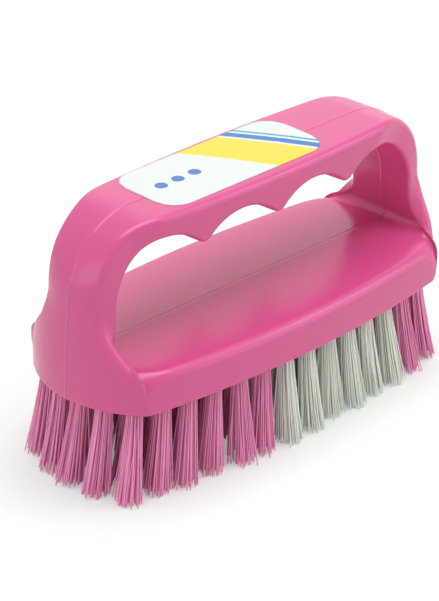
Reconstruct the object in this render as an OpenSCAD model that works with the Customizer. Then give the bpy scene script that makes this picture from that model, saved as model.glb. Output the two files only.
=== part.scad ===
// Hand scrubbing brush with a bow handle, standing on its bristles.
// Millimetres. The origin is on the ground under the middle of the brush, +Z up, +X along its length.

/* [Base] */
// Length of the base over its bowed ends
base_len = 110; // [109:0.5:114]
// Width of the base over its bowed sides
base_w = 45.8; // [44:0.2:52]
// Thickness of the base under the finger opening
base_h = 9.6; // [9:0.1:13]
// How far each end bows out over the width of the base
end_bow = 9.5; // [8:0.1:11]
// How far each side bows out over the length of the base
side_bow = 6.4; // [4:0.1:7]
// Rounding of the base's upper edge along the finger opening
rim_r = 2.4; // [1:0.1:3]

/* [Handle] */
// Width of the finger bar at mid-length
grip_w = 25.4; // [23:0.2:30]
// How far the handle's sides bow out over the length of the base
grip_bow = 5.2; // [3:0.1:5.5]
// Rounding of the finger bar's upper edges
grip_edge_r = 1.7; // [1:0.1:4]
// Radius of the hollow flare where a leg meets the base
flare_r = 17; // [16:0.5:20]
// Height over the base at which the flare begins
flare_h = 15.4; // [13:0.1:15.8]
// Radius of each finger scallop
finger_r = 14.2; // [13.5:0.1:14.2]
// Distance from one finger scallop to the next
finger_pitch = 22.2; // [21:0.1:22.2]
// Height of the scallops' centres over the underside of the base
finger_z = 21.9; // [20:0.1:24]
// Thickness of the bar over a scallop
bar_wall = 4.9; // [4:0.1:7]
// Thickness of a leg beside the outer scallop
leg_wall = 5.3; // [4:0.1:6]
// Radius of the handle's round shoulders
shoulder_r = 17.7; // [14:0.1:19]
// Radius of a leg's rounded outer face, seen from above
leg_round_r = 16; // [14:0.5:18]
// Rounding of the point between two scallops
cusp_r = 1.2; // [1.2:0.05:1.3]
// Rounding between a leg and the floor of the finger opening
floor_r = 3.5; // [2:0.1:5]

/* [Bristles] */
// Length of the bristles below the base
trim_h = 22; // [18:0.5:26]
// Diameter of a tuft hole
hole_d = 4.3; // [3.8:0.1:4.6]
// Depth of a tuft hole
hole_depth = 7; // [6:0.1:7.2]
// Distance from an end of the base to the middle of its nearest tuft
row_end_gap = 6.7; // [6:0.1:9]
// How much shorter the outer rows are at each end
row_end_bow = 3.3; // [2:0.1:4]
// Distance from the middle row to an outer row at mid-length
row_half_w = 18.4; // [17:0.1:18.5]
// How much nearer the outer rows come at the ends
row_side_bow = 4.8; // [4:0.1:6]
// Lean of the tufts towards the ends, as a share of their distance from the middle
lean_along = 0.035; // [0:0.005:0.04]
// Lean of the tufts towards the sides, as a share of their distance from the middle
lean_across = 0.07; // [0:0.005:0.075]
// Spread of a tuft's outer strands from its root to its tips
tuft_spread = 0.85; // [0.2:0.05:1]
// Radius of one strand, which stands for a bundle of filaments
strand_r = 0.62; // [0.4:0.01:0.65]

/* [Anchors] */
// Length of an anchor wire, which bites into both sides of its hole
anchor_len = 5.4; // [5.2:0.1:6]
// Thickness of an anchor wire
anchor_t = 0.5; // [0.3:0.05:0.6]
// Height of an anchor wire
anchor_h = 1.8; // [1.4:0.1:2.2]

/* [Label] */
// Length of the paper label
label_len = 49; // [30:0.5:54]
// Width of the paper label
label_w = 20.4; // [14:0.2:20.6]
// Place of the label's middle along the bar
label_x = -6; // [-7:0.5:7]
// Place of the label's middle across the bar
label_y = 0.5; // [-0.5:0.1:0.5]
// Corner radius of the label
label_r = 6; // [1:0.5:6.5]
// Thickness of the label
label_t = 0.15; // [0.1:0.05:0.3]

/* [Hidden] */
$fn = 96;
fine_fn = 480;
// Tufts: columns along the brush, rows across it, and the columns that are white
columns = 14;
rows = 5;
white_first = 7;
white_last = 12;
strands_per_ring = 6;

pink = [0.86, 0.33, 0.58];
pink_bristle = [0.83, 0.30, 0.55];
white_bristle = [0.86, 0.88, 0.85];
wire_grey = [0.62, 0.62, 0.64];
paper_white = [0.95, 0.95, 0.94];

half_len = base_len / 2;
half_w = base_w / 2;
grip_half = grip_w / 2;
body_z = trim_h;
floor_z = body_z + base_h;
centre_z = body_z + finger_z;
top_z = centre_z + finger_r + bar_wall;
leg_half = 1.5 * finger_pitch + finger_r;
shoulder_x = leg_half + leg_wall - shoulder_r;
shoulder_z = top_z - shoulder_r;
well_sink = 0.3;
wall_step = 0.2;
foot_bite = 0.8;
well_z = floor_z - well_sink;
well_half = leg_half - wall_step;
foot_half = well_half - floor_r + foot_bite;
foot_depth = 1;
foot_z = floor_z - rim_r - foot_depth;
skin = 0.05;
lap = 0.01;
margin = 5;

// Radius of an arc from its half chord and its rise
function arc_r(half_chord, rise) = (half_chord * half_chord + rise * rise) / (2 * rise);
end_r = arc_r(half_w, end_bow);
end_axis = half_len - end_r;

// Tuft grid: u runs from -1 to 1 along the brush, v from -1 to 1 across it
function column_u(i) = -1 + 2 * (i - 1) / (columns - 1);
function row_v(j) = -1 + 2 * (j - 1) / (rows - 1);
row_half_len = half_len - row_end_gap;
function hole_at(u, v) = [
    u * (row_half_len - row_end_bow * v * v),
    v * (row_half_w - row_side_bow * u * u)
];
hole_top = body_z + hole_depth;
tuft_gap = 0.1;
plug_d = hole_d - tuft_gap;
ring_r = plug_d / 2 - strand_r - tuft_gap;
strand_bite = 1.2;
tip_cut = 0.5;
anchor_drop = 0.8;

// Node names: one node for each cross row of tufts and one for its anchors
function two_digits(i) = i < 10 ? str("0", i) : str(i);
function is_white(i) = i >= white_first && i <= white_last;
function tuft_name(i) = str(is_white(i) ? "white_tufts_" : "pink_tufts_", two_digits(i));
function anchor_name(i) = str("tuft_anchors_", two_digits(i));

// A solid bounded by two bowed sides: child 0 is half of its cross-section, from y = 0 outwards
module between_sides(half, bow) {
    radius = arc_r(half_len, bow);
    intersection_for (side = [-1, 1])
        translate([0, side * (radius - half), 0])
            rotate_extrude($fn = fine_fn)
                union() {
                    translate([radius - half, 0]) children(0);
                    translate([0, foot_z]) square([radius - half + lap, top_z - foot_z]);
                }
}

// The plan of the base as an upright block between two bowed sides and two bowed ends
module base_plan(inset, low, high) {
    radius = arc_r(half_len, side_bow) - inset;
    intersection() {
        intersection_for (side = [-1, 1])
            translate([0, side * (radius + inset - half_w), low])
                cylinder(h = high - low, r = radius, $fn = fine_fn);
        union() {
            translate([-end_axis, -end_r, low]) cube([2 * end_axis, 2 * end_r, high - low]);
            for (side = [-1, 1])
                translate([side * end_axis, 0, low]) cylinder(h = high - low, r = end_r - inset);
        }
    }
}

// Half cross-section of the base above its foot line, with its rounded upper edge
module rim_section() {
    translate([0, foot_z]) square([half_w + margin, floor_z - rim_r - foot_z]);
    translate([0, foot_z]) square([half_w - rim_r, floor_z - foot_z]);
    translate([half_w - rim_r, floor_z - rim_r]) circle(rim_r);
}

// Half cross-section of the handle: hollow flare at the foot, rounded edge at the top
module grip_section() {
    flare_z = floor_z + flare_h;
    translate([0, foot_z]) square([grip_half, top_z - grip_edge_r - foot_z]);
    translate([0, foot_z]) square([grip_half - grip_edge_r, top_z - foot_z]);
    translate([grip_half - grip_edge_r, top_z - grip_edge_r]) circle(grip_edge_r);
    difference() {
        translate([0, foot_z]) square([grip_half + flare_r, flare_z - foot_z]);
        translate([grip_half + flare_r, flare_z]) circle(flare_r);
    }
}

// Half of the handle's long section, from an end's turning axis outwards: leaning leg and round shoulder
module end_section() {
    polygon([
        [0, foot_z],
        [end_r - 2 * skin, foot_z],
        [shoulder_x + shoulder_r - end_axis, shoulder_z],
        [0, shoulder_z]
    ]);
    intersection() {
        translate([shoulder_x - end_axis, shoulder_z]) circle(shoulder_r);
        translate([0, foot_z]) square([end_r, top_z - foot_z]);
    }
    translate([0, foot_z]) square([shoulder_x - end_axis, top_z - foot_z]);
}

// The space between the handle's two bowed ends, each turned about its own upright axis
module between_ends() {
    translate([-end_axis, -end_r, foot_z]) cube([2 * end_axis, 2 * end_r, top_z - foot_z]);
    for (side = [-1, 1])
        translate([side * end_axis, 0, 0]) rotate_extrude() end_section();
}

// Upright round ends that take the corners off the legs, wider towards the base
module between_leg_rounds() {
    axis_x = shoulder_x + shoulder_r - leg_round_r;
    cone_h = floor_z + flare_h - foot_z;
    translate([-axis_x, -leg_round_r - margin, foot_z])
        cube([2 * axis_x, 2 * (leg_round_r + margin), top_z + margin - foot_z]);
    for (side = [-1, 1]) translate([side * axis_x, 0, foot_z]) {
        cylinder(h = cone_h, r1 = leg_round_r + margin, r2 = leg_round_r);
        cylinder(h = top_z + margin - foot_z, r = leg_round_r);
    }
}

// Outline of the finger opening in the long section: four scallops over a straight-sided well
module opening_outline() {
    touch = finger_r / (finger_r + cusp_r);
    cusp_rise = sqrt(pow(finger_r + cusp_r, 2) - pow(finger_pitch / 2, 2));
    difference() {
        union() {
            intersection() {
                for (k = [-1.5:1:1.5]) translate([k * finger_pitch, centre_z]) circle(finger_r);
                translate([-half_len, centre_z - margin]) square([base_len, finger_r + 2 * margin]);
            }
            translate([-well_half, well_z]) square([2 * well_half, centre_z - well_z]);
            for (k = [-1:1])
                translate([k * finger_pitch - finger_pitch / 2 * (1 - touch), centre_z])
                    square([finger_pitch * (1 - touch), cusp_rise * touch]);
        }
        for (k = [-1:1]) translate([k * finger_pitch, centre_z + cusp_rise]) circle(cusp_r);
        for (side = [-1, 1]) scale([side, 1]) floor_corner(well_half);
    }
}

// Material left in a lower corner of the opening, so that leg and floor meet in a hollow curve
module floor_corner(corner_x) {
    difference() {
        translate([corner_x - floor_r, well_z - margin]) square([floor_r + margin, floor_r + margin]);
        translate([corner_x - floor_r, well_z + floor_r]) circle(floor_r);
    }
}

// Blind hole for one tuft, with the two bites of its anchor
module tuft_hole() {
    translate([0, 0, body_z - margin]) cylinder(h = hole_depth + margin, d = hole_d);
    anchor();
}

// One flat anchor wire, lying across its hole
module anchor() {
    translate([-anchor_t / 2, -anchor_len / 2, hole_top - anchor_drop - anchor_h])
        cube([anchor_t, anchor_len, anchor_h]);
}

// One strand from its place on the root to its tip
module strand(root, tip) {
    run = tip - root;
    translate(root)
        rotate([0, acos(run.z / norm(run)), atan2(run.y, run.x)])
            cylinder(h = norm(run), r = strand_r, $fn = 3);
}

// One tuft: a root that fills its hole, and strands that lean outwards, cut flat where they stand
module tuft(place) {
    lean = [place.x * lean_along, place.y * lean_across];
    difference() {
        union() {
            translate([0, 0, body_z]) cylinder(h = hole_depth, d = plug_d);
            for (k = [0:strands_per_ring]) {
                around = k * 360 / strands_per_ring;
                out = k == strands_per_ring ? [0, 0] : [cos(around), sin(around)];
                root = [out.x * ring_r, out.y * ring_r, body_z + strand_bite];
                spread = ring_r + tuft_spread;
                tip = [lean.x + out.x * spread, lean.y + out.y * spread, -tip_cut];
                strand(root, tip);
            }
        }
        anchor();
        translate([-half_w, -half_w, -2 * margin]) cube([base_w, base_w, 2 * margin]);
    }
}

// The base, with its rounded upper edge
module base_block() {
    base_plan(0, body_z, foot_z);
    intersection() {
        base_plan(0, foot_z, floor_z);
        between_sides(half_w, side_bow) rim_section();
    }
}

// The two legs and the finger bar, sunk a little way into the base
module handle_block() {
    difference() {
        intersection() {
            base_plan(skin, foot_z, top_z);
            between_sides(grip_half, grip_bow) grip_section();
            between_ends();
            between_leg_rounds();
        }
        translate([-foot_half, -half_w, body_z]) cube([2 * foot_half, base_w, base_h]);
        translate([0, half_w + margin, 0])
            rotate([90, 0, 0]) linear_extrude(base_w + 2 * margin) opening_outline();
    }
}

module brush_body() {
    color(pink) difference() {
        union() {
            base_block();
            handle_block();
        }
        for (i = [1:columns], j = [1:rows]) translate(hole_at(column_u(i), row_v(j))) tuft_hole();
    }
}

module label() {
    straight = [label_len - 2 * label_r, label_w - 2 * label_r];
    color(paper_white) translate([label_x, label_y, top_z]) linear_extrude(label_t) {
        square([straight.x, label_w], center = true);
        square([label_len, straight.y], center = true);
        for (sx = [-0.5, 0.5], sy = [-0.5, 0.5])
            translate([sx * straight.x, sy * straight.y]) circle(label_r);
    }
}

module tuft_column(i) {
    color(is_white(i) ? white_bristle : pink_bristle)
        for (j = [1:rows]) {
            place = hole_at(column_u(i), row_v(j));
            translate(place) tuft(place);
        }
}

module anchor_column(i) {
    color(wire_grey) for (j = [1:rows]) translate(hole_at(column_u(i), row_v(j))) anchor();
}

brush_body();
label();
for (i = [1:columns]) tuft_column(i);
for (i = [1:columns]) anchor_column(i);
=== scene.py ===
"""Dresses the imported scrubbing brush: moulded body, bristle tufts, paper label, anchors and stage."""

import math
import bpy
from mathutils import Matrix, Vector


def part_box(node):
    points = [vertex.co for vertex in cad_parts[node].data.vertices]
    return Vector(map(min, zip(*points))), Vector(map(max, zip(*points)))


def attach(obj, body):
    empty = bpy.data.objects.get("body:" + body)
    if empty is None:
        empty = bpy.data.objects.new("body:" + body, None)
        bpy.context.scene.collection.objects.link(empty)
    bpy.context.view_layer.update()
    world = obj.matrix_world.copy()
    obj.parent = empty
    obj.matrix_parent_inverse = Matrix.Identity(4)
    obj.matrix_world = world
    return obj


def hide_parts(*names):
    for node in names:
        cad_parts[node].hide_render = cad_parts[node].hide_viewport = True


bl_info = {
    "name": "Bow-handled scrubbing brush",
    "version": (1, 0, 0),
    "blender": (4, 5, 0),
    "location": "3D View > Sidebar > Brush",
    "description": "Builds the body, bristles and label of a hand scrubbing brush round its packed solids",
    "category": "Add Mesh",
}

from types import SimpleNamespace

import bpy
import numpy as np
from mathutils import Matrix, Vector

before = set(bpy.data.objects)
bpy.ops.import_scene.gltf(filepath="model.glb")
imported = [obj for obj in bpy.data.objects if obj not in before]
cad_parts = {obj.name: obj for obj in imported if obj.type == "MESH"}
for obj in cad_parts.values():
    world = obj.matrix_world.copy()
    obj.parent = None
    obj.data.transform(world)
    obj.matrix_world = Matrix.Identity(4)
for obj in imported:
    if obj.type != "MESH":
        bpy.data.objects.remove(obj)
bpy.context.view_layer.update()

MM = 0.001
BODY_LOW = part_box("brush_body")[0]
LABEL_LOW, LABEL_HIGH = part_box("label")
COLUMNS = 14
ROWS = 5
WHITE_COLUMNS = range(7, 13)


def from_display(red, green, blue):
    """A colour as a screen shows it, 0 to 255, turned into the linear values that shaders use.

    The numbers are those of the standard display curve: a straight foot and a power above it.
    """
    shares = [value / 255 for value in (red, green, blue)]
    return tuple(v / 12.92 if v <= 0.04045 else ((v + 0.055) / 1.055) ** 2.4 for v in shares)


def length(name, description, default):
    """A property for one size, given in millimetres and kept in metres."""
    return bpy.props.FloatProperty(
        name=name, description=description, default=default * MM, unit="LENGTH", precision=5
    )


def tint(name, description, default):
    """A property for one colour, given as a screen shows it."""
    return bpy.props.FloatVectorProperty(
        name=name, description=description, default=from_display(*default),
        subtype="COLOR", size=3, min=0, max=1,
    )


class BodySizes(bpy.types.PropertyGroup):
    """Sizes of the moulded body. Heights are over the underside of the base."""

    half_len: length("Half length", "Half the length of the base over its bowed ends", 54.0)
    half_w: length("Half width", "Half the width of the base over its bowed sides", 22.9)
    end_r: length("End radius", "Radius of a bowed end of the base, seen from above", 26.0)
    flank_r: length("Flank radius", "Radius of an end over the base, seen from above", 26.0)
    leg_r: length("Leg radius", "Radius of a leg's outer face, seen from above", 15.5)
    side_bow: length("Side bow", "How far a side bows out over the length of the base", 5.4)
    floor_h: length("Floor", "Height of the floor of the finger opening at its sides", 9.7)
    floor_r: length("Floor corner", "Radius between the floor and a leg", 2.3)
    rim_r: length("Rim", "Rounding of the base's upper edge", 2.2)
    foot_edge: length("Foot edge", "Rounding of the base's lower edge", 0.7)
    base_corner: length("Base corner", "Rounding of the base's upright corners", 3.2)
    finger_r: length("Scallop", "Radius of a finger scallop", 14.0)
    pitch: length("Pitch", "Distance from one finger scallop to the next", 22.2)
    centre_h: length("Scallop height", "Height of the scallops' centres", 21.9)
    cusp_r: length("Cusp", "Rounding of the point between two scallops", 2.0)
    leg_in: length("Leg inset", "How far the legs stand in from the round of the end scallops", 1.0)
    leg_lean: length("Leg lean", "How far a leg's inner face leans out at the floor", 1.5)
    top_h: length("Top", "Height of the finger bar's top", 41.0)
    shoulder_r: length("Shoulder", "Radius of the handle's round shoulders", 17.7)
    shoulder_x: length("Shoulder place", "Distance of a shoulder's centre from the middle", 35.1)
    grip_half: length("Bar half width", "Half the width of the finger bar at mid-length", 12.6)
    grip_bow: length("Bar bow", "How much the bar narrows over half the length of the base", 3.4)
    leg_half: length("Leg half width", "Half the width of a leg at the opening", 9.3)
    leg_taper: length("Leg taper", "How much narrower half a leg is at its outside", 0.7)
    flare_r: length("Flare", "Radius of the hollow flare from a leg's outside into the base", 10.5)
    inner_flare_r: length("Inner flare", "Radius of the hollow flare at the opening", 5.0)
    flare_h: length("Flare height", "Height at which the outer flare begins", 22.5)
    inner_flare_h: length("Inner flare height", "Height at which the flare at the opening begins", 15.8)
    bar_edge: length("Bar edge", "Rounding of the bar's upper edges", 1.6)
    leg_edge: length("Leg edge", "Rounding of a leg's outer corners", 1.4)
    inner_edge: length("Inner edge", "Rounding of the finger opening's edges", 0.8)
    part_y: length("Parting line", "Place of the mould's parting line across the brush", -1.0)
    part_bead: length("Parting bead", "Height of the bead along the parting line", 0.13)


class BristleSizes(bpy.types.PropertyGroup):
    """Sizes of the tufts and their filaments."""

    trim: length("Trim", "Length of the bristles below the base", 22.0)
    bury: length("Bury", "How far the filaments reach up into the base", 2.5)
    hole_r: length("Hole radius", "Radius of a tuft where it leaves the base", 1.8)
    filament_r: length("Filament radius", "Radius of one filament", 0.15)
    spread: length("Spread", "How much further out the outermost filaments are at their tips", 1.5)
    sway: length("Sway", "How far the tufts lean at random", 0.4)
    uneven: length("Uneven", "How much shorter the shortest filaments are", 0.9)
    row_half_len: length("Row half length", "Half the length of the middle row of tufts", 47.7)
    row_shift: length("Row shift", "How far the rows stand off the middle of the base", -0.6)
    row_end_bow: length("Row end bow", "How much shorter the outer rows are at each end", 3.3)
    row_half_w: length("Row half width", "Distance from the middle row to an outer row at mid-length", 18.4)
    row_side_bow: length("Row side bow", "How much nearer the outer rows come at the ends", 4.8)
    filaments: bpy.props.IntProperty(
        name="Filaments", description="Filaments in one tuft", default=90, min=7
    )
    seed: bpy.props.IntProperty(name="Seed", description="Start of the random draws", default=11)


class LabelSizes(bpy.types.PropertyGroup):
    """Sizes of the paper label on the bar."""

    corner_r: length("Corner", "Corner radius of the label", 6.0)
    thickness: length("Thickness", "Thickness of the label", 0.12)


class BrushColours(bpy.types.PropertyGroup):
    """Colours of the finishes."""

    plastic: tint("Plastic", "Moulded pink plastic", (220, 87, 146))
    plastic_deep: tint("Deep plastic", "Streaks in the moulded plastic", (212, 80, 140))
    pink_bristle: tint("Pink bristle", "Pink filaments", (255, 152, 202))
    white_bristle: tint("White bristle", "White filaments", (242, 247, 235))
    paper: tint("Paper", "Coated label paper", (224, 230, 227))
    band_yellow: tint("Yellow band", "Broad printed band", (246, 214, 70))
    band_blue: tint("Blue band", "Narrow printed bands", (66, 120, 190))
    band_teal: tint("Teal band", "Thin printed band", (70, 168, 188))
    wire: tint("Wire", "Anchor wire", (176, 176, 180))
    ground: tint("Floor", "Pale floor", (244, 252, 246))


class Value:
    """A shader socket that takes part in plain arithmetic: each operator adds one Math node."""

    def __init__(self, shader, socket):
        self.shader = shader
        self.socket = socket

    def math(self, operation, first, second):
        return self.shader.node("ShaderNodeMath", {"operation": operation}, {0: first, 1: second})

    def __add__(self, other):
        return self.math("ADD", self, other)

    def __radd__(self, other):
        return self.math("ADD", other, self)

    def __sub__(self, other):
        return self.math("SUBTRACT", self, other)

    def __rsub__(self, other):
        return self.math("SUBTRACT", other, self)

    def __mul__(self, other):
        return self.math("MULTIPLY", self, other)

    def __rmul__(self, other):
        return self.math("MULTIPLY", other, self)

    def __gt__(self, other):
        return self.math("GREATER_THAN", self, other)

    def __lt__(self, other):
        return self.math("LESS_THAN", self, other)


class Shader:
    """The node tree of one material or of the world."""

    # A Mix node's sockets for colours, and the rays that see the background
    MIX_FIRST = 6
    MIX_SECOND = 7
    MIX_RESULT = 2
    SEEN_RAYS = ("Is Camera Ray", "Is Glossy Ray", "Is Transmission Ray")

    def __init__(self, owner):
        owner.use_nodes = True
        self.tree = owner.node_tree
        self.tree.nodes.clear()

    def node(self, kind, settings=None, inputs=None, output=0):
        """Adds a node, sets it up, feeds its sockets, and gives back one of its outputs."""
        made = self.tree.nodes.new(kind)
        for key, setting in (settings or {}).items():
            setattr(made, key, setting)
        for key, given in (inputs or {}).items():
            if isinstance(given, Value):
                self.tree.links.new(given.socket, made.inputs[key])
            else:
                made.inputs[key].default_value = given
        return Value(self, made.outputs[output]) if made.outputs else None

    def blend(self, factor, first, second):
        """Mixes two colours."""
        first = first if isinstance(first, Value) else (*first, 1.0)
        second = second if isinstance(second, Value) else (*second, 1.0)
        inputs = {0: factor, self.MIX_FIRST: first, self.MIX_SECOND: second}
        return self.node("ShaderNodeMix", {"data_type": "RGBA"}, inputs, self.MIX_RESULT)

    def place(self):
        """Place on the brush in metres, which is the same in every view."""
        return self.node("ShaderNodeTexCoord", output="Object")

    def axes(self):
        """The three parts of the place on the brush."""
        split = self.node("ShaderNodeSeparateXYZ", None, {0: self.place()})
        outputs = split.socket.node.outputs
        return [Value(self, outputs[i]) for i in range(3)]

    def seen(self):
        """1 for rays from the camera, in reflections and through clear things, 0 for light on things."""
        outputs = self.node("ShaderNodeLightPath").socket.node.outputs
        camera, glossy, clear = (Value(self, outputs[name]) for name in self.SEEN_RAYS)
        inputs = {"Value": camera + glossy + clear, "Min": 0.0, "Max": 1.0}
        return self.node("ShaderNodeClamp", None, inputs)

    def noise(self, scale, detail, rough=0.5, stretch=(1, 1, 1)):
        """Soft noise from 0 to 1, with the scale in features a metre, stretched along the axes."""
        settings = {"operation": "MULTIPLY"}
        where = self.node("ShaderNodeVectorMath", settings, {0: self.place(), 1: stretch})
        inputs = {"Vector": where, "Scale": scale, "Detail": detail, "Roughness": rough}
        return self.node("ShaderNodeTexNoise", None, inputs)

    def bump(self, height, distance, strength):
        """A normal roughened by a height."""
        inputs = {"Strength": strength, "Distance": distance, "Height": height}
        return self.node("ShaderNodeBump", None, inputs)

    def surface(self, inputs):
        """Ends the tree in one Principled shader."""
        shaded = self.node("ShaderNodeBsdfPrincipled", None, inputs)
        self.node("ShaderNodeOutputMaterial", None, {"Surface": shaded})


def new_material(name):
    """A fresh material and its node tree."""
    material = bpy.data.materials.new(name)
    return material, Shader(material)


def toned(colour, share):
    """A colour made lighter or darker, but never brighter than white."""
    return tuple(min(1.0, part * share) for part in colour)


def plastic_finish(colours):
    """Glossy moulded plastic: faint flow streaks, fine handling haze and a little light in thin edges."""
    material, shader = new_material("moulded_pink_plastic")
    streaks = shader.noise(scale=55, detail=3.0, stretch=(0.5, 1.0, 1.0))
    haze = shader.noise(scale=420, detail=4.0, rough=0.6)
    peel = shader.noise(scale=900, detail=2.0)
    base = shader.blend(streaks, tuple(colours.plastic_deep), tuple(colours.plastic))
    shader.surface({
        "Base Color": base,
        "Roughness": 0.17 + haze * 0.1,
        "IOR": 1.5,
        "Subsurface Weight": 0.12,
        "Subsurface Radius": (0.9, 0.25, 0.45),
        "Subsurface Scale": 4 * MM,
        "Normal": shader.bump(peel, distance=0.02 * MM, strength=0.25),
    })
    return material


def filament_finish(name, colour):
    """Satin drawn filament: each one a little lighter or darker, and darker over its lowest few millimetres
    at the tip.
    """
    darkest = 0.9
    lightest = 1.1
    tone_share = 0.8
    drawn_share = 0.2
    # Each filament is blended towards its darkest tone over the lowest tip_length, so it is darker towards
    # the bottom
    tip_share = 0.15
    tip_length = 3 * MM
    material, shader = new_material(name)
    tone = shader.node("ShaderNodeAttribute", {"attribute_name": "tone"}, output="Fac")
    height = shader.axes()[2]
    tip = shader.node(
        "ShaderNodeMapRange", None,
        {"Value": height, "From Min": 0.0, "From Max": tip_length, "To Min": 1.0, "To Max": 0.0},
    )
    drawn = shader.noise(scale=2500, detail=2.0, stretch=(1, 1, 0.04))
    dark = toned(colour, darkest)
    mixed = shader.blend(tone * tone_share + drawn * drawn_share, dark, toned(colour, lightest))
    shader.surface({
        "Base Color": shader.blend(tip * tip_share, mixed, dark),
        "Roughness": 0.34 + drawn * 0.12,
        "IOR": 1.53,
        "Specular IOR Level": 0.8,
        "Normal": shader.bump(drawn, distance=0.01 * MM, strength=0.4),
    })
    return material


def paper_finish(colours):
    """Coated paper printed with plain slanted bands and a row of dots, in millimetres from its middle."""
    bands = (("band_yellow", 2.0, 14.5), ("band_blue", 15.5, 18.0), ("band_teal", 19.0, 20.0))
    band_slant = 0.6
    dots = (-18, -13, -8)
    dot_radius = 1.5 * MM
    fibre_share = 0.25
    fibre_tone = 0.93
    material, shader = new_material("printed_label_paper")
    x, y, _ = shader.axes()
    fibre = shader.noise(scale=1400, detail=4.0, rough=0.6)
    fibrous = toned(colours.paper, fibre_tone)
    printed = shader.blend(fibre * fibre_share, tuple(colours.paper), fibrous)
    middle = (LABEL_LOW + LABEL_HIGH) / 2
    along = x - middle.x
    across = y - middle.y
    slant = along + across * band_slant
    for ink, start, end in bands:
        band = (slant > start * MM) * (slant < end * MM)
        printed = shader.blend(band, printed, tuple(getattr(colours, ink)))
    for dot in dots:
        off = along - dot * MM
        inside = off * off + across * across < dot_radius ** 2
        printed = shader.blend(inside, printed, tuple(colours.band_blue))
    shader.surface({
        "Base Color": printed,
        "Roughness": 0.36 + fibre * 0.16,
        "Normal": shader.bump(fibre, distance=0.01 * MM, strength=0.3),
    })
    return material


def wire_finish(colours):
    """Flat drawn wire with marks along its length."""
    dullest = 0.75
    material, shader = new_material("drawn_anchor_wire")
    marks = shader.noise(scale=900, detail=3.0, rough=0.6, stretch=(1, 0.1, 1))
    shader.surface({
        "Base Color": shader.blend(marks, toned(colours.wire, dullest), tuple(colours.wire)),
        "Metallic": 1.0,
        "Roughness": 0.3 + marks * 0.2,
    })
    return material


def ease(share):
    """A smooth step from 0 to 1."""
    share = np.clip(share, 0, 1)
    return share * share * (3 - 2 * share)


def ease_over(value, start, stretch):
    """A smooth step from 0 to 1 as a value goes over a stretch."""
    return float(ease((value - start) / stretch))


def soft_least(first, second, width):
    """The lesser of two values, with a rounded change from one to the other."""
    share = np.clip(0.5 + 0.5 * (second - first) / width, 0, 1)
    return second * (1 - share) + first * share - width * share * (1 - share)


def round_corner(start, corner, end, steps):
    """Points of a round blend from start to end whose sides would meet at the corner."""
    share = np.linspace(0, 1, steps)[:, None]
    weight = math.sqrt(0.5)
    near = (1 - share) ** 2
    mid = 2 * weight * share * (1 - share)
    far = share ** 2
    return (near * start + mid * corner + far * end) / (near + mid + far)


def arc_points(centre, radius, start, end, steps, last=False):
    """Points on an arc in the long section."""
    angles = np.linspace(start, end, steps, endpoint=last)
    return [(centre[0] + radius * math.cos(a), centre[1] + radius * math.sin(a)) for a in angles]


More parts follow.
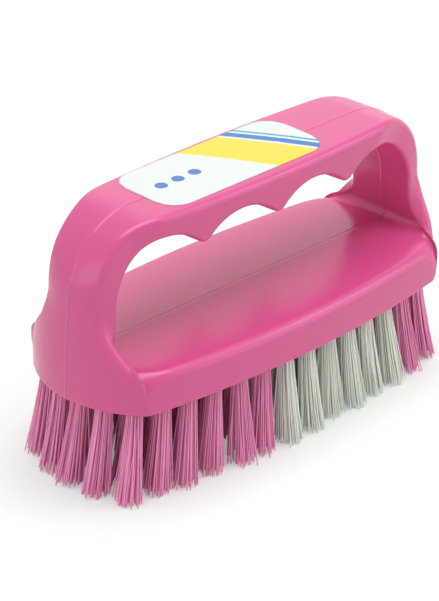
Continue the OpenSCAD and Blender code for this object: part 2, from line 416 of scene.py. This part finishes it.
class BodyShape:
    """The moulded body, in millimetres: a closed tube of cross-sections round the finger opening.

    Each section goes over the opening's face, the rear side, the outer face and the front side.
    """

    # Points along each stretch of the contours
    FLOOR_STEPS = 40
    CORNER_STEPS = 30
    LEG_STEPS = 30
    ARC_STEPS = 28
    HALF_SCALLOP_STEPS = 14
    CUSP_STEPS = 12
    SCALLOP_STEPS = 26
    HALF_CUSP_STEPS = 7
    # Points round a section: on a side, on its edges, and on a face before and after the parting bead
    SIDE_STEPS = 17
    INNER_EDGE_STEPS = 8
    OUTER_EDGE_STEPS = 10
    FRONT_STEPS = 7
    REAR_STEPS = 8
    # Rounds in which a section's half widths settle, and the most of a wall that its edges take up
    FIT_ROUNDS = 8
    EDGE_ROOM = 0.96
    # Least values that keep square roots and lengths above zero
    LEAST_SQUARE = 1.0
    LEAST_RUN = 1e-9
    # How far the base's end stretch runs along the underside and up the end wall
    END_REACH = 5.0
    # Height at which the end wall begins to lean towards the shoulder
    FOOT_H = 7.0
    # How the lean of a leg's inner face fades with height
    LEAN_POWER = 1.5
    # Draft of the opening's face and fall of the bar's top, both at a distance across the brush
    DRAFT = 0.7
    CROWN = 0.3
    DRAFT_AT = 13.0
    # Half width of the parting bead, places of points on it, and the room that these take
    BEAD_W = 0.2
    BEAD_PLACES = np.array([-0.6, -0.3, -0.15, 0.0, 0.15, 0.3, 0.6])
    BEAD_ROOM = 1.1
    # On the floor the parting line is a groove: its depth as a share of the bead
    FLOOR_GROOVE = -0.6
    # Distance from the middle at which the bar begins to turn into a leg, and the stretch it takes
    LEG_FROM = 33.0
    LEG_OVER = 16.0
    # Extra half width at a leg's foot, its rise along the floor and its fade up the corner
    FOOT_SPREAD = 7.0
    FLOOR_SPREAD = 3.0
    CORNER_FADE = 1.5
    # Plastic between the opening's corner and the bowed end, how this eases outwards, and its rounding
    RIM_WALL = 1.9
    END_EASE = 6.0
    CORNER_SOFT = 2.0
    # Turn of each flare's round stretch, share of the wall where the outer one takes over, and rounding
    FLARE_TURN = math.radians(45)
    INNER_FLARE_TURN = math.radians(76)
    FLARE_OVER = 0.9
    FLARE_SOFT = 4.2
    # Heights from which the end's round turns into the flank's and the leg's, and the stretches they take
    FLANK_FROM = 5.0
    FLANK_OVER = 6.0
    LEG_ROUND_FROM = 17.0
    LEG_ROUND_OVER = 7.0
    # Distance from the middle at which the underside begins to follow the bowed end, and its stretch
    BOW_FROM = 18.0
    BOW_OVER = 26.0
    # Power with which the end's round fades out over the shoulder
    SHOULDER_FADE = 4
    # Shares of the corner and of the leg at which the outer edge's rounding changes, and the stretches
    CORNER_EDGE_FROM = 0.42
    CORNER_EDGE_OVER = 0.25
    LEG_EDGE_FROM = 0.05
    LEG_EDGE_OVER = 0.45

    def __init__(self, sizes):
        self.s = sizes
        # With four scallops, the end ones stand one and a half pitches from the middle
        self.end_scallop = 1.5 * sizes.pitch
        self.leg = self.end_scallop + sizes.finger_r - sizes.leg_in
        self.shoulder_h = sizes.top_h - sizes.shoulder_r
        self.inner, self.zones = self.opening_path()
        self.outer = self.outer_path()
        self.close_round()
        self.grip = [self.grip_half(abs(x)) for x, _ in self.outer]
        self.spread = [self.foot_spread(*zone) for zone in self.zones]
        self.taper = [sizes.leg_taper * self.leg_share(abs(x)) for x, _ in self.outer]

    def opening_path(self):
        """The opening's contour from the middle of the floor over one leg to the middle of the bar."""
        s = self.s
        flat = self.leg + s.leg_lean - s.floor_r
        low = s.floor_h + s.floor_r
        points = [(x, s.floor_h) for x in np.linspace(0, flat, self.FLOOR_STEPS, endpoint=False)]
        points += arc_points((flat, low), s.floor_r, -math.pi / 2, 0, self.CORNER_STEPS)
        for share in np.linspace(0, 1, self.LEG_STEPS, endpoint=False):
            lean = s.leg_lean * (1 - share) ** self.LEAN_POWER
            points.append((self.leg + lean, low + share * (s.centre_h - low)))
        for turn in np.linspace(0, math.pi / 2, self.ARC_STEPS, endpoint=False):
            x = self.end_scallop + (s.finger_r - s.leg_in) * math.cos(turn)
            points.append((x, s.centre_h + s.finger_r * math.sin(turn)))
        stretches = (
            ("floor", self.FLOOR_STEPS),
            ("corner", self.CORNER_STEPS),
            ("leg", self.LEG_STEPS),
            ("arc", self.ARC_STEPS),
        )
        zones = [(zone, k / count) for zone, count in stretches for k in range(count)]
        bar = self.bar_path()
        points += bar
        zones += [("bar", x / self.end_scallop) for x, _ in bar]
        return np.array(points), zones

    def bar_path(self):
        """The underside of half the bar: half a scallop, a cusp, a scallop and half a cusp."""
        s = self.s
        rise = math.sqrt((s.finger_r + s.cusp_r) ** 2 - (s.pitch / 2) ** 2)
        touch = math.atan2(rise, s.pitch / 2)
        outer = (self.end_scallop, s.centre_h)
        inner = (s.pitch / 2, s.centre_h)
        cusp = (s.pitch, s.centre_h + rise)
        middle = (0, s.centre_h + rise)
        quarter_turn = math.pi / 2
        points = arc_points(outer, s.finger_r, quarter_turn, math.pi - touch, self.HALF_SCALLOP_STEPS)
        points += arc_points(cusp, s.cusp_r, -touch, touch - math.pi, self.CUSP_STEPS)
        points += arc_points(inner, s.finger_r, touch, math.pi - touch, self.SCALLOP_STEPS)
        points += arc_points(middle, s.cusp_r, -touch, -quarter_turn, self.HALF_CUSP_STEPS, True)
        return points

    def outer_path(self):
        """The outer contour that faces each point of the opening's contour."""
        s = self.s
        reach = s.half_len - self.END_REACH
        slope = (s.shoulder_x + s.shoulder_r - s.half_len) / (self.shoulder_h - self.FOOT_H)
        points = []
        for zone, share in self.zones:
            if zone == "floor":
                points.append((share * reach, 0.0))
            elif zone == "corner":
                points.append(self.base_end(share, reach))
            elif zone == "leg":
                height = self.END_REACH + share * (self.shoulder_h - self.END_REACH)
                points.append((s.half_len + slope * max(0.0, height - self.FOOT_H), height))
            elif zone == "arc":
                turn = share * math.pi / 2
                x = s.shoulder_x + s.shoulder_r * math.cos(turn)
                points.append((x, self.shoulder_h + s.shoulder_r * math.sin(turn)))
            else:
                points.append((share * s.shoulder_x, s.top_h))
        return np.array(points)

    def base_end(self, share, reach):
        """A point on the way round the lower end of the base: flat, rounded edge, upright wall."""
        half = self.s.half_len
        edge = self.s.foot_edge
        flat = half - edge - reach
        bend = edge * math.pi / 2
        run = share * (flat + bend + self.END_REACH - edge)
        if run < flat:
            return (reach + run, 0.0)
        if run < flat + bend:
            turn = (run - flat) / edge
            return (half - edge + edge * math.sin(turn), edge - edge * math.cos(turn))
        return (half, edge + run - flat - bend)

    def close_round(self):
        """Adds the mirrored half, so that the contours run all the way round, and finds their normals."""
        mirror = np.array([-1, 1])
        self.inner = np.vstack([self.inner, (self.inner * mirror)[-2:0:-1]])
        self.outer = np.vstack([self.outer, (self.outer * mirror)[-2:0:-1]])
        self.zones = self.zones + self.zones[-2:0:-1]
        self.inner_out = self.normals(self.inner)
        self.outer_out = self.normals(self.outer)

    def normals(self, path):
        """Unit normals of a closed contour, pointing away from the opening."""
        run = np.roll(path, -1, 0) - np.roll(path, 1, 0)
        run /= np.maximum(np.linalg.norm(run, axis=1), self.LEAST_RUN)[:, None]
        return np.stack([run[:, 1], -run[:, 0]], 1)

    def grip_half(self, x):
        """Half the handle's width, on bar or leg, where its outer face is at a distance from the middle."""
        s = self.s
        bar = s.grip_half - s.grip_bow * (x / s.half_len) ** 2
        return bar + (s.leg_half - bar) * self.leg_share(x)

    def leg_share(self, x):
        """How far the handle has turned from bar to leg at a distance from the middle, from 0 to 1."""
        return ease_over(x, self.LEG_FROM, self.LEG_OVER)

    def foot_spread(self, zone, share):
        """Extra half width where a leg runs out over the corner into the rim of the floor."""
        if zone == "floor":
            return self.FOOT_SPREAD + self.FLOOR_SPREAD * self.leg * (1 - share)
        if zone == "corner":
            return self.FOOT_SPREAD * max(0.0, 1 - self.CORNER_FADE * share) ** 2
        return 0.0

    @staticmethod
    def hollow(height, start, radius, turn):
        """How far a hollow flare has spread below its start: round through a turn, then straight."""
        below = max(start - height, 0.0)
        bend = radius * math.sin(turn)
        if below < bend:
            return radius - math.sqrt(radius ** 2 - below ** 2)
        return radius * (1 - math.cos(turn)) + (below - bend) * math.tan(turn)

    def round_height(self, radius, off):
        """Height of a circle over its middle line, at a distance off its centre."""
        return math.sqrt(max(radius ** 2 - off ** 2, self.LEAST_SQUARE))

    def end_half(self, x):
        """Half the width of the base between its bowed ends, at a distance from the middle."""
        s = self.s
        return self.round_height(s.end_r, max(0.0, x - s.half_len + s.end_r))

    def half_width(self, i, spot, share):
        """Half the width of section i, at a place a share of the way from the opening to the outside."""
        s = self.s
        x, height = spot
        side = s.half_w - s.side_bow * (x / s.half_len) ** 2
        corner = self.end_half(abs(x) + self.RIM_WALL) + self.END_EASE * share
        base = soft_least(side, corner, self.CORNER_SOFT)
        within = self.hollow(height, s.inner_flare_h, s.inner_flare_r, self.INNER_FLARE_TURN)
        without = self.hollow(height, s.flare_h, s.flare_r, self.FLARE_TURN) - self.taper[i]
        flare = within + ease_over(share, 0.0, self.FLARE_OVER) * (without - within)
        return float(soft_least(base, self.grip[i] + self.spread[i] + flare, self.FLARE_SOFT))

    def bow(self, i, y):
        """How far the outer face draws in at a distance from the middle plane."""
        s = self.s
        zone, share = self.zones[i]
        if zone == "bar":
            return np.zeros(2)
        x, height = self.outer[i]
        flank = ease_over(height, self.FLANK_FROM, self.FLANK_OVER)
        leg = ease_over(height, self.LEG_ROUND_FROM, self.LEG_ROUND_OVER)
        low = 1 / s.end_r + flank * (1 / s.flank_r - 1 / s.end_r)
        radius = 1 / (low + leg * (1 / s.leg_r - low))
        draw = radius - self.round_height(radius, y)
        if zone == "arc":
            return self.outer_out[i] * draw * math.cos(share * math.pi / 2) ** self.SHOULDER_FADE
        return np.array([math.copysign(draw * ease_over(abs(x), self.BOW_FROM, self.BOW_OVER), x), 0.0])

    def bead(self, y):
        """Height of the parting bead."""
        return self.s.part_bead * math.exp(-(((y - self.s.part_y) / self.BEAD_W) ** 2))

    def inner_at(self, i, y):
        """The opening's face at a distance across the brush, with its draft from the parting line."""
        zone = self.zones[i][0]
        draft = self.DRAFT * (abs(y - self.s.part_y) / self.DRAFT_AT - 1)
        bead = self.bead(y) * (self.FLOOR_GROOVE if zone == "floor" else 1.0)
        return self.inner[i] + self.inner_out[i] * (draft - bead)

    def outer_at(self, i, y):
        """The outer face at a distance across the brush, with its bow, crown and parting bead."""
        zone, share = self.zones[i]
        crown = {"bar": 1.0, "arc": float(ease(share))}.get(zone, 0.0)
        drop = np.array([0.0, self.CROWN * crown * (y / self.DRAFT_AT) ** 2])
        bead = 0.0 if zone == "floor" else self.bead(y)
        return self.outer[i] - self.bow(i, y) - drop + self.outer_out[i] * bead

    def edges(self, zone, share):
        """Rounding of the inner and outer edges at a place on the contour."""
        s = self.s
        if zone == "floor":
            return s.rim_r, s.foot_edge
        if zone == "corner":
            turned = ease_over(share, self.CORNER_EDGE_FROM, self.CORNER_EDGE_OVER)
            inner = s.rim_r + (s.inner_edge - s.rim_r) * ease(share)
            return inner, s.foot_edge + (s.base_corner - s.foot_edge) * turned
        if zone == "leg":
            turned = ease_over(share, self.LEG_EDGE_FROM, self.LEG_EDGE_OVER)
            return s.inner_edge, s.base_corner + (s.leg_edge - s.base_corner) * turned
        if zone == "arc":
            return s.inner_edge, s.leg_edge + (s.bar_edge - s.leg_edge) * share
        return s.inner_edge, s.bar_edge

    def across(self, half):
        """Places across a face, closer together at the parting bead."""
        part = self.s.part_y
        front = np.linspace(-half, part - self.BEAD_ROOM, self.FRONT_STEPS)
        rear = np.linspace(part + self.BEAD_ROOM, half, self.REAR_STEPS)
        return np.concatenate([front, part + self.BEAD_PLACES, rear])

    def section(self, i):
        """One closed cross-section."""
        inner_edge, outer_edge = self.edges(*self.zones[i])
        inner_half = outer_half = self.s.grip_half
        for _ in range(self.FIT_ROUNDS):
            inner_half = self.half_width(i, self.inner_at(i, inner_half), 0)
            outer_half = self.half_width(i, self.outer_at(i, outer_half), 1)
        start = self.inner_at(i, inner_half)
        end = self.outer_at(i, outer_half)
        wall = np.linalg.norm(end - start)
        fit = min(1.0, self.EDGE_ROOM * wall / (inner_edge + outer_edge))
        inner_edge *= fit
        outer_edge *= fit

        def side(share):
            spot = start + share * (end - start)
            return np.array([spot[0], self.half_width(i, spot, share), spot[1]])

        def on(place, y):
            return np.array([place[0], y, place[1]])

        flip = np.array([1, -1, 1])
        near = inner_edge / wall
        far = 1 - outer_edge / wall
        inside = [on(self.inner_at(i, y), y) for y in self.across(inner_half - inner_edge)]
        outside = [on(self.outer_at(i, y), y) for y in self.across(outer_half - outer_edge)[::-1]]
        rear = [side(share) for share in np.linspace(near, far, self.SIDE_STEPS)]
        front = [spot * flip for spot in rear[::-1]]
        inner_corner = on(start, inner_half)
        outer_corner = on(end, outer_half)
        turns = (
            round_corner(inside[-1], inner_corner, rear[0], self.INNER_EDGE_STEPS),
            round_corner(rear[-1], outer_corner, outside[0], self.OUTER_EDGE_STEPS),
            round_corner(outside[-1], outer_corner * flip, front[0], self.OUTER_EDGE_STEPS),
            round_corner(front[-1], inner_corner * flip, inside[0], self.INNER_EDGE_STEPS),
        )
        faces = (inside, rear, outside, front)
        return np.vstack([part for pair in zip(faces, (turn[1:-1] for turn in turns)) for part in pair])

    def grid(self):
        """All the sections, in metres and in the row frame."""
        sections = np.array([self.section(i) for i in range(len(self.zones))])
        sections[..., 2] += BODY_LOW.z / MM
        return sections * MM


def in_mm(group):
    """The sizes of a property group in millimetres, by name."""
    names = group.__annotations__
    return SimpleNamespace(**{name: getattr(group, name) / MM for name in names})


def closed_grid_faces(rings, around):
    """Faces of a grid that closes both ways."""
    faces = []
    for i in range(rings):
        j = (i + 1) % rings
        for k in range(around):
            m = (k + 1) % around
            faces.append((i * around + k, i * around + m, j * around + m, j * around + k))
    return faces


def new_piece(name, points, faces, material, slot, *nodes):
    """Makes a smooth piece that rides on the brush and stands for CAD nodes."""
    mesh = bpy.data.meshes.new(name)
    mesh.from_pydata([tuple(map(float, p)) for p in points], [], faces)
    mesh.materials.append(material)
    mesh.polygons.foreach_set("use_smooth", [True] * len(mesh.polygons))
    mesh.update()
    if mesh.validate():
        raise RuntimeError(f"{name} has faces that are not valid")
    piece = bpy.data.objects.new(name, mesh)
    bpy.context.scene.collection.objects.link(piece)
    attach(piece, "root")
    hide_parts(*nodes)
    return piece


class TuftShape:
    """The filaments of one tuft at a time, in metres."""

    # Turn from one filament to the next, which spreads them evenly over the hole, and its scatter
    GOLDEN_ANGLE = 2.39996
    ANGLE_SCATTER = 0.12
    # Lean along and across the brush, as shares of the distance from the middle
    LEAN_SHARES = np.array([0.075, 0.09])
    # Share of the filaments that stray, and how far the tips of these and of the others wander
    STRAY_SHARE = 0.08
    STRAY_WANDER = 1.2 * MM
    USUAL_WANDER = 0.32 * MM
    # How rare the shortest filaments are
    UNEVEN_POWER = 2.2
    # Places of the points along a filament, its bend, and the radius of its cut tip
    LEVELS = np.array([0.0, 0.35, 0.7, 0.985, 1.0])
    BEND = 0.25
    TIP_SHARE = 0.6
    SIDES = 5

    def __init__(self, sizes):
        self.s = sizes

    def place(self, u, v):
        """Middle of a tuft at the base, from its place along and across the brush, each from -1 to 1."""
        s = self.s
        x = u * (s.row_half_len - s.row_end_bow * v * v) + s.row_shift
        return np.array([x, v * (s.row_half_w - s.row_side_bow * u * u)])

    def paths(self, place, rng):
        """Points along every filament of one tuft, and the tone of each filament."""
        s = self.s
        count = s.filaments
        k = np.arange(count)
        ring = np.sqrt((k + 0.5) / count)
        start = rng.uniform(0, 2 * math.pi)
        angle = k * self.GOLDEN_ANGLE + start + rng.normal(0, self.ANGLE_SCATTER, count)
        out = np.stack([np.cos(angle), np.sin(angle)], 1)
        root = place + out * (ring * (s.hole_r - s.filament_r))[:, None]
        lean = place * self.LEAN_SHARES + rng.normal(0, 1, 2) * s.sway
        stray = rng.uniform(0, 1, count) < self.STRAY_SHARE
        wander = np.where(stray, self.STRAY_WANDER, self.USUAL_WANDER)
        scatter = rng.normal(0, 1, (count, 2)) * wander[:, None]
        tip = root + lean + out * (ring * s.spread)[:, None] + scatter
        tip_z = s.uneven * rng.uniform(0, 1, count) ** self.UNEVEN_POWER
        top = s.trim + s.bury
        curve = (1 - self.BEND) * self.LEVELS + self.BEND * self.LEVELS ** 2
        flat = root[:, None] + (tip - root)[:, None] * curve[None, :, None]
        height = top + (tip_z - top)[:, None] * self.LEVELS[None]
        return np.concatenate([flat, height[..., None]], 2), rng.uniform(0, 1, count)

    def mesh(self, paths):
        """Points and faces of thin tubes along the paths, narrower at their tips."""
        count, steps, _ = paths.shape
        sides = self.SIDES
        turn = np.arange(sides) * 2 * math.pi / sides
        ring = np.stack([np.cos(turn), np.sin(turn), np.zeros(sides)], 1) * self.s.filament_r
        tubes = paths[:, :, None] + ring[None, None]
        tubes[:, -1, :, :2] = paths[:, -1, None, :2] + self.TIP_SHARE * ring[None, :, :2]
        faces = []
        for n in range(count):
            first = n * steps * sides
            for level in range(steps - 1):
                for side in range(sides):
                    a = first + level * sides + side
                    b = first + level * sides + (side + 1) % sides
                    faces.append((a + sides, b + sides, b, a))
            faces.append(tuple(first + (steps - 1) * sides + side for side in range(sides))[::-1])
            faces.append(tuple(first + side for side in range(sides)))
        return tubes.reshape(-1, 3), faces


class BRUSH_OT_body(bpy.types.Operator):
    """Build the moulded body"""

    bl_idname = "brush.body"
    bl_label = "Moulded body"

    def execute(self, context):
        shape = BodyShape(in_mm(context.scene.brush_body))
        grid = shape.grid()
        rings, around, _ = grid.shape
        material = plastic_finish(context.scene.brush_colours)
        faces = closed_grid_faces(rings, around)
        new_piece("moulded_body", grid.reshape(-1, 3), faces, material, "body_plastic", "brush_body")
        return {"FINISHED"}


class BRUSH_OT_bristles(bpy.types.Operator):
    """Build the tufts, one piece for each cross row"""

    bl_idname = "brush.bristles"
    bl_label = "Bristle tufts"

    def execute(self, context):
        sizes = context.scene.brush_bristles
        colours = context.scene.brush_colours
        shape = TuftShape(sizes)
        finishes = {
            "pink": filament_finish("pink_filament", tuple(colours.pink_bristle)),
            "white": filament_finish("white_filament", tuple(colours.white_bristle)),
        }
        for column in range(1, COLUMNS + 1):
            kind = "white" if column in WHITE_COLUMNS else "pink"
            rng = np.random.default_rng(sizes.seed + column)
            u = -1 + 2 * (column - 1) / (COLUMNS - 1)
            rows = [-1 + 2 * row / (ROWS - 1) for row in range(ROWS)]
            tufts = [shape.paths(shape.place(u, v), rng) for v in rows]
            paths = np.concatenate([tuft for tuft, _ in tufts])
            tones = np.concatenate([tone for _, tone in tufts])
            points, faces = shape.mesh(paths)
            name = f"{kind}_bristles_{column:02d}"
            node = f"{kind}_tufts_{column:02d}"
            piece = new_piece(name, points, faces, finishes[kind], f"{kind}_bristle", node)
            tone = piece.data.attributes.new("tone", "FLOAT", "POINT")
            values = np.repeat(tones, len(points) // len(paths))
            tone.data.foreach_set("value", values.astype(np.float32))
        return {"FINISHED"}


class BRUSH_OT_label(bpy.types.Operator):
    """Build the paper label on the bar"""

    bl_idname = "brush.label"
    bl_label = "Paper label"

    # Faces along and across the sheet
    ALONG = 60
    ACROSS = 26
    # Gap under the sheet, and the parting bead as it shows through it: share of its height, half width
    GAP = 0.01 * MM
    BEAD_SHARE = 0.5
    BEAD_W = 0.5

    def execute(self, context):
        sizes = context.scene.brush_label
        body = in_mm(context.scene.brush_body)
        half = (LABEL_HIGH - LABEL_LOW) / 2
        middle = (LABEL_HIGH + LABEL_LOW) / 2
        points = []
        for lift in (self.GAP, self.GAP + sizes.thickness):
            for i in range(self.ALONG + 1):
                x = half.x * (2 * i / self.ALONG - 1)
                over = max(0.0, abs(x) - half.x + sizes.corner_r)
                corner = math.sqrt(max(sizes.corner_r ** 2 - over ** 2, 0.0))
                reach = half.y - sizes.corner_r + corner
                for j in range(self.ACROSS + 1):
                    y = middle.y + reach * (2 * j / self.ACROSS - 1)
                    height = self.bar_height(body, (middle.x + x) / MM, y / MM)
                    points.append((middle.x + x, y, BODY_LOW.z + height * MM + lift))
        material = paper_finish(context.scene.brush_colours)
        new_piece("paper_label", points, self.faces(), material, "label_paper", "label")
        return {"FINISHED"}

    def bar_height(self, body, x, y):
        """Height of the bar's top under the label in millimetres, with its crown, bead and edges."""
        crown = BodyShape.CROWN * (y / BodyShape.DRAFT_AT) ** 2
        bead = self.BEAD_SHARE * body.part_bead * math.exp(-(((y - body.part_y) / self.BEAD_W) ** 2))
        half = body.grip_half - body.grip_bow * (x / body.half_len) ** 2
        over = min(max(0.0, abs(y) - half + body.bar_edge), body.bar_edge)
        edge = body.bar_edge - math.sqrt(body.bar_edge ** 2 - over ** 2)
        return body.top_h - crown + bead - edge

    def faces(self):
        """Faces of the two sides of the sheet and of its cut edge."""
        wide = self.ACROSS + 1
        layer = wide * (self.ALONG + 1)
        faces = []
        for i in range(self.ALONG):
            for j in range(self.ACROSS):
                a = i * wide + j
                faces.append((a, a + 1, a + wide + 1, a + wide))
                faces.append((layer + a, layer + a + wide, layer + a + wide + 1, layer + a + 1))
        rim = list(range(wide))
        rim += [i * wide + self.ACROSS for i in range(1, self.ALONG + 1)]
        rim += [self.ALONG * wide + j for j in range(self.ACROSS - 1, -1, -1)]
        rim += [i * wide for i in range(self.ALONG - 1, 0, -1)]
        for a, b in zip(rim, rim[1:] + rim[:1]):
            faces.append((b, a, layer + a, layer + b))
        return faces


class BRUSH_OT_anchors(bpy.types.Operator):
    """Give the hidden anchor wires their finish"""

    bl_idname = "brush.anchors"
    bl_label = "Anchor wires"

    def execute(self, context):
        material = wire_finish(context.scene.brush_colours)
        for column in range(1, COLUMNS + 1):
            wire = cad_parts[f"tuft_anchors_{column:02d}"]
            wire.data.materials.clear()
            wire.data.materials.append(material)
        return {"FINISHED"}


class BRUSH_OT_stage(bpy.types.Operator):
    """Set out the floor, the light and the camera"""

    bl_idname = "brush.stage"
    bl_label = "Stage"

    # Camera: angles in degrees, distance and target in millimetres
    CAMERA = {
        "azimuth": -44.62,
        "elevation": 28.13,
        "roll": 0.55,
        "distance": 632.8,
        "target": (-6.89, -0.47, 28.96),
    }
    LENS_MM = 167.72
    SENSOR_MM = 36.0
    # Soft boxes: place and side in metres, power in watts
    LAMPS = {
        "top_softbox": {"place": (0.1, 0.0, 1.7), "side": 1.5, "power": 26.0},
        "back_softbox": {"place": (0.66, 0.67, 0.5), "side": 0.7, "power": 0.6},
        "front_softbox": {"place": (0.75, -0.75, 0.15), "side": 0.9, "power": 2.6},
        "left_softbox": {"place": (-0.95, 0.12, 0.15), "side": 0.7, "power": 1.8},
        "near_softbox": {"place": (-0.7, -0.7, 0.1), "side": 1.0, "power": 0.4},
        "rim_softbox": {"place": (0.7, -0.5, 0.72), "side": 0.4, "power": 1.3},
    }
    LAMP_AIM = Vector((0, 0, 0.03))
    # Half the floor's side in metres, its own white as the camera sees it, and the room's light
    FLOOR_HALF = 3.0
    FLOOR_WHITE = 0.32
    ROOM_LIGHT = 0.28
    WHITE = (1, 1, 1, 1)

    def execute(self, context):
        self.floor(context.scene)
        self.world(context.scene)
        for name, lamp in self.LAMPS.items():
            self.lamp(context.scene, name, **lamp)
        self.camera(context.scene)
        return {"FINISHED"}

    def floor(self, scene):
        """A wide pale floor that keeps a soft shadow and looks white to the camera."""
        half = self.FLOOR_HALF
        grain_share = 0.2
        grain_tone = 0.97
        corners = [(-half, -half, 0), (half, -half, 0), (half, half, 0), (-half, half, 0)]
        mesh = bpy.data.meshes.new("floor")
        mesh.from_pydata(corners, [], [(0, 1, 2, 3)])
        material, shader = new_material("pale_floor")
        grain = shader.noise(scale=30, detail=2.0)
        pale = tuple(scene.brush_colours.ground)
        base = shader.blend(grain * grain_share, pale, toned(pale, grain_tone))
        matt = shader.node("ShaderNodeBsdfPrincipled", None, {"Base Color": base, "Roughness": 0.9})
        white = shader.node("ShaderNodeEmission", None, {"Color": self.WHITE, "Strength": 1.0})
        share = self.FLOOR_WHITE * shader.seen()
        mixed = shader.node("ShaderNodeMixShader", None, {0: share, 1: matt, 2: white})
        shader.node("ShaderNodeOutputMaterial", None, {"Surface": mixed})
        mesh.materials.append(material)
        floor = bpy.data.objects.new("floor", mesh)
        scene.collection.objects.link(floor)

    def world(self, scene):
        """White to the camera and in reflections, and a plain soft light on the object."""
        scene.world = bpy.data.worlds.new("white_room")
        shader = Shader(scene.world)
        strength = self.ROOM_LIGHT + (1 - self.ROOM_LIGHT) * shader.seen()
        lit = shader.node("ShaderNodeBackground", None, {"Color": self.WHITE, "Strength": strength})
        shader.node("ShaderNodeOutputWorld", None, {"Surface": lit})
        scene.view_settings.view_transform = "Standard"

    def lamp(self, scene, name, place, side, power):
        """One soft box that looks at the brush."""
        data = bpy.data.lights.new(name, "AREA")
        data.shape = "SQUARE"
        data.size = side
        data.energy = power
        lamp = bpy.data.objects.new(name, data)
        scene.collection.objects.link(lamp)
        lamp.location = place
        aim = self.LAMP_AIM - lamp.location
        lamp.rotation_euler = aim.to_track_quat("-Z", "Y").to_euler()

    def camera(self, scene):
        """The photograph's viewpoint."""
        view = self.CAMERA
        azimuth = math.radians(view["azimuth"])
        elevation = math.radians(view["elevation"])
        roll = math.radians(view["roll"])
        level = math.cos(elevation)
        back = Vector((math.sin(azimuth) * level, -math.cos(azimuth) * level, math.sin(elevation)))
        right = (-back).cross(Vector((0, 0, 1))).normalized()
        up = right.cross(-back)
        turned_right = right * math.cos(roll) + up * math.sin(roll)
        turned_up = up * math.cos(roll) - right * math.sin(roll)
        data = bpy.data.cameras.new("camera")
        data.lens = self.LENS_MM
        data.sensor_width = self.SENSOR_MM
        data.clip_start = 0.01
        camera = bpy.data.objects.new("camera", data)
        scene.collection.objects.link(camera)
        turn = Matrix((turned_right, turned_up, back)).transposed().to_4x4()
        place = (Vector(view["target"]) + back * view["distance"]) * MM
        camera.matrix_world = Matrix.Translation(place) @ turn
        scene.camera = camera


class BRUSH_PT_panel(bpy.types.Panel):
    """Lists the brush's pieces"""

    bl_idname = "BRUSH_PT_panel"
    bl_label = "Scrubbing brush"
    bl_space_type = "VIEW_3D"
    bl_region_type = "UI"
    bl_category = "Brush"

    def draw(self, context):
        for piece in PIECES:
            self.layout.operator(piece.bl_idname)
        for group in GROUPS:
            box = self.layout.box()
            settings = getattr(context.scene, group)
            for name in settings.__annotations__:
                box.prop(settings, name)


PIECES = (BRUSH_OT_body, BRUSH_OT_bristles, BRUSH_OT_label, BRUSH_OT_anchors, BRUSH_OT_stage)
GROUPS = {
    "brush_body": BodySizes,
    "brush_bristles": BristleSizes,
    "brush_label": LabelSizes,
    "brush_colours": BrushColours,
}


def register():
    for group, kind in GROUPS.items():
        bpy.utils.register_class(kind)
        setattr(bpy.types.Scene, group, bpy.props.PointerProperty(type=kind))
    for kind in (*PIECES, BRUSH_PT_panel):
        bpy.utils.register_class(kind)


def unregister():
    for kind in (BRUSH_PT_panel, *reversed(PIECES)):
        bpy.utils.unregister_class(kind)
    for group, kind in reversed(GROUPS.items()):
        delattr(bpy.types.Scene, group)
        bpy.utils.unregister_class(kind)


def main():
    register()
    bpy.ops.brush.body()
    bpy.ops.brush.bristles()
    bpy.ops.brush.label()
    bpy.ops.brush.anchors()
    bpy.ops.brush.stage()


if __name__ == "__main__":
    main()
